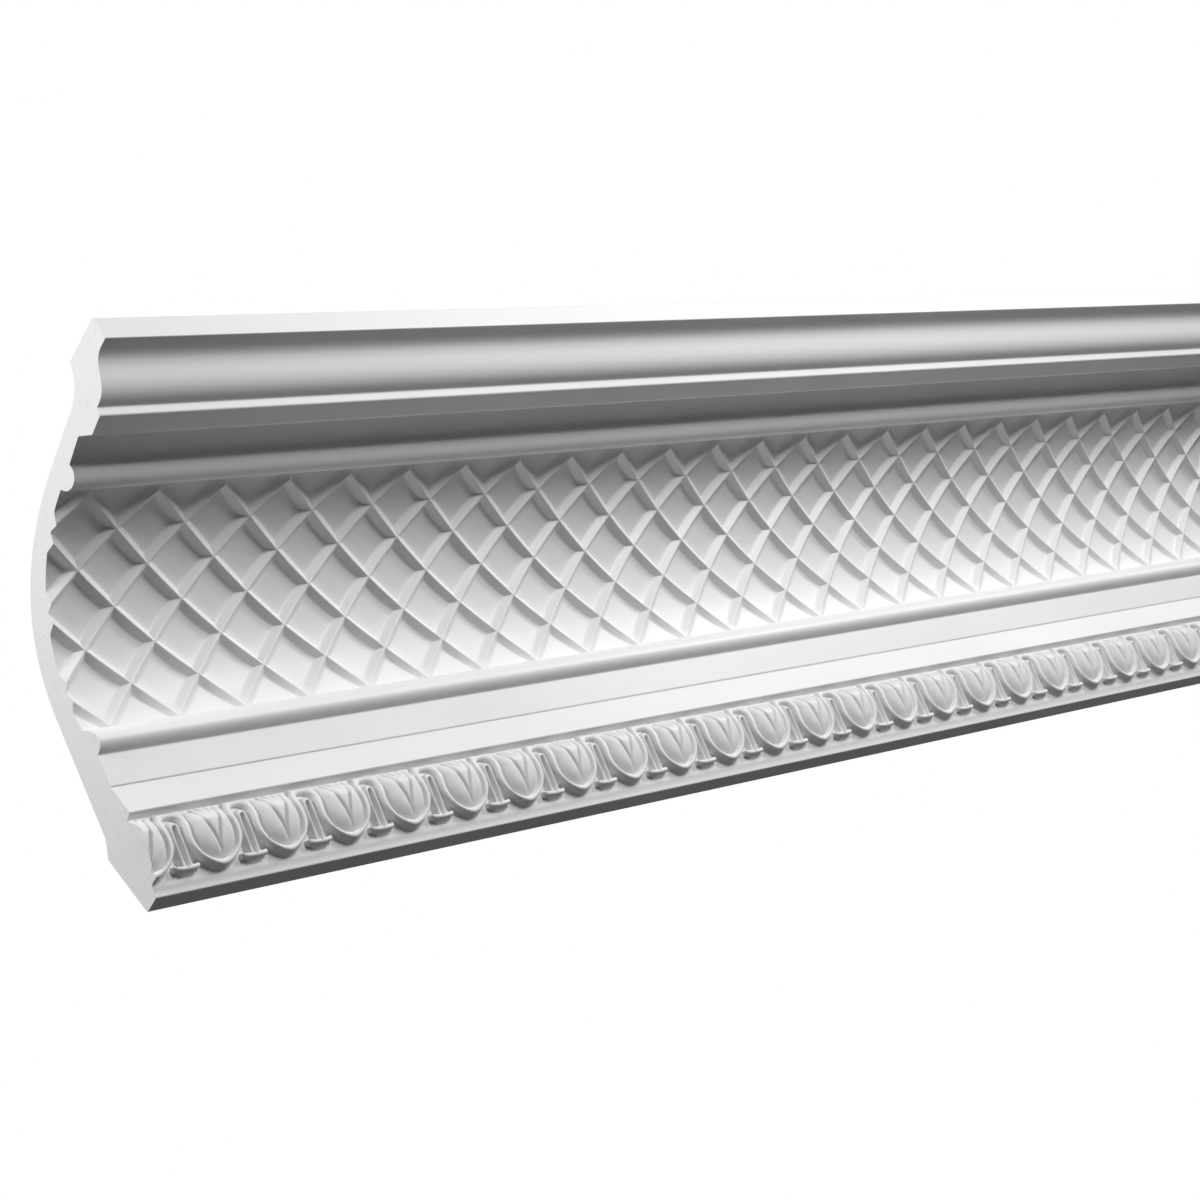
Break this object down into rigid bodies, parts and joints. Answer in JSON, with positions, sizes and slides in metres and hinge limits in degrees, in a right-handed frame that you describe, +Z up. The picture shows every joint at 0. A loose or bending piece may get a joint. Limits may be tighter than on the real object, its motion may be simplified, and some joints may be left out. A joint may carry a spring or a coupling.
{
  "type": "cornice moulding section",
  "caption": "Straight length of coved cornice with a diamond lattice in the cove, bead and cyma mouldings above, and egg and dart along the foot.",
  "frame": {"origin": "middle of the flat face that meets the wall, half way along the length", "axes": "+X along the length, +Y into the wall, +Z up to the ceiling, in the fitted position"},
  "size_m": [1.125, 0.201, 0.2],
  "materials": {
    "cornice": "matt white primed rigid foam with a fine moulded skin"
  },
  "bodies": {
    "root": {"cornice": "cornice"}
  },
  "joints": []
}
